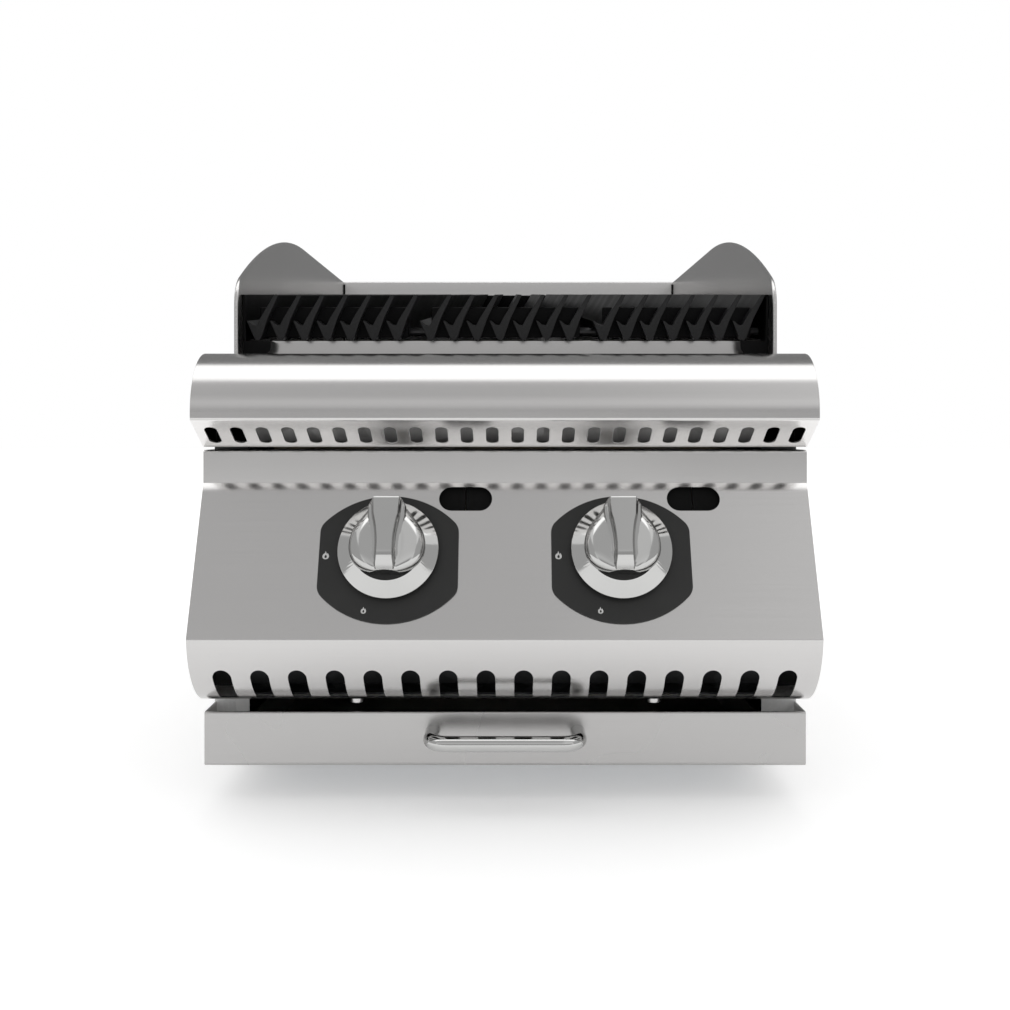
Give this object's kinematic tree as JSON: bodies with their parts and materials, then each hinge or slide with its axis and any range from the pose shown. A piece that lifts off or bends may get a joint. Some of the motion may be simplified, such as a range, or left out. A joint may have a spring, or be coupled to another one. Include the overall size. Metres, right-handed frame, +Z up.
{
  "type": "lava stone grill",
  "caption": "Counter-top gas grill with sloped cast-iron grates over lava stones, push-and-turn taps, curved splash guard and a sliding grease drawer.",
  "frame": {"origin": "on the table, under the middle of the whole unit", "axes": "+X to the right, +Y to the back, +Z up, seen from the control panel"},
  "size_m": [0.4, 0.6132, 0.412],
  "materials": {
    "stainless_sheet": "brushed stainless sheet",
    "worktop_steel": "fine satin stainless, rolled",
    "panel_steel": "fine satin stainless",
    "guard_steel": "satin stainless, polished edges",
    "tray_steel": "mill finish stainless",
    "firebox_steel": "heat-stained stainless",
    "galvanised": "galvanised",
    "burner_steel": "heat-stained stainless tube",
    "bezel_plastic": "matt black",
    "knob_chrome": "polished chrome",
    "handle_chrome": "polished chrome",
    "brass": "machined",
    "pipe_alloy": "drawn",
    "grid_iron": "dark scaled iron",
    "lava_stone": "rough porous rock",
    "black_enamel": "matt black enamel",
    "cast_iron": "seasoned cast iron",
    "screw_steel": "zinc-plated",
    "foot_rubber": "matt black"
  },
  "bodies": {
    "body": {"base_pan": "galvanised", "side_panel_left": "stainless_sheet", "side_panel_right": "stainless_sheet", "rear_panel": "stainless_sheet", "front_crossbar": "stainless_sheet", "lower_crossbar": "galvanised", "top_plate": "worktop_steel", "nose_end_caps": "worktop_steel", "control_panel": "panel_steel", "panel_end_caps": "panel_steel", "bezel_left": "bezel_plastic", "bezel_right": "bezel_plastic", "gas_tap_left": "brass", "gas_tap_right": "brass", "feed_pipe_left": "pipe_alloy", "feed_pipe_right": "pipe_alloy", "injectors": "brass", "gas_manifold": "galvanised", "supply_pipe": "galvanised", "gas_inlet": "brass", "burner_left": "burner_steel", "burner_right": "burner_steel", "pilot_left": "galvanised", "pilot_right": "galvanised", "thermocouple_left": "pipe_alloy", "thermocouple_right": "pipe_alloy", "firebox_front": "firebox_steel", "firebox_back": "firebox_steel", "firebox_left": "firebox_steel", "firebox_right": "firebox_steel", "stone_grid": "grid_iron", "lava_stones": "lava_stone", "grate_rail_left": "black_enamel", "grate_rail_right": "black_enamel", "grate_rods": "black_enamel", "guard_left": "guard_steel", "guard_right": "guard_steel", "guard_back": "guard_steel", "drawer_runners": "galvanised", "feet": "foot_rubber", "foot_bolts": "screw_steel", "lip_screws": "screw_steel", "rear_screws": "screw_steel", "rail_screws": "screw_steel"},
    "drawer": {"drawer_front": "panel_steel", "drawer_tray": "tray_steel", "drawer_handle": "handle_chrome", "handle_screws": "screw_steel"},
    "tap_cone_left": {"tap_cone_left": "brass"},
    "tap_cone_right": {"tap_cone_right": "brass"},
    "knob_left": {"knob_left": "knob_chrome", "spindle_left": "brass"},
    "knob_right": {"knob_right": "knob_chrome", "spindle_right": "brass"},
    "grate_left": {"grate_left": "cast_iron"},
    "grate_middle": {"grate_middle": "cast_iron"},
    "grate_right": {"grate_right": "cast_iron"}
  },
  "joints": [
    {"name": "drawer_slide", "type": "slide", "parent": "body", "child": "drawer", "axis": [0, -1, 0], "range_m": [0, 0.4]},
    {"name": "knob_turn_left", "type": "hinge", "parent": "body", "child": "tap_cone_left", "pos_m": [-0.075, -0.27072, 0.17055], "axis": [0, -0.9186, 0.3953], "range_deg": [0, 160]},
    {"name": "knob_push_left", "type": "slide", "parent": "tap_cone_left", "child": "knob_left", "axis": [0, 0.9186, -0.3953], "range_m": [0, 0.003], "stiffness_N_per_m": 1500, "springref_m": -0.003},
    {"name": "knob_turn_right", "type": "hinge", "parent": "body", "child": "tap_cone_right", "pos_m": [0.075, -0.27072, 0.17055], "axis": [0, -0.9186, 0.3953], "range_deg": [0, 160]},
    {"name": "knob_push_right", "type": "slide", "parent": "tap_cone_right", "child": "knob_right", "axis": [0, 0.9186, -0.3953], "range_m": [0, 0.003], "stiffness_N_per_m": 1500, "springref_m": -0.003},
    {"name": "grate_lift_left", "type": "slide", "parent": "body", "child": "grate_left", "axis": [0, 0, 1], "range_m": [0, 0.12]},
    {"name": "grate_lift_middle", "type": "slide", "parent": "body", "child": "grate_middle", "axis": [0, 0, 1], "range_m": [0, 0.12]},
    {"name": "grate_lift_right", "type": "slide", "parent": "body", "child": "grate_right", "axis": [0, 0, 1], "range_m": [0, 0.12]}
  ]
}
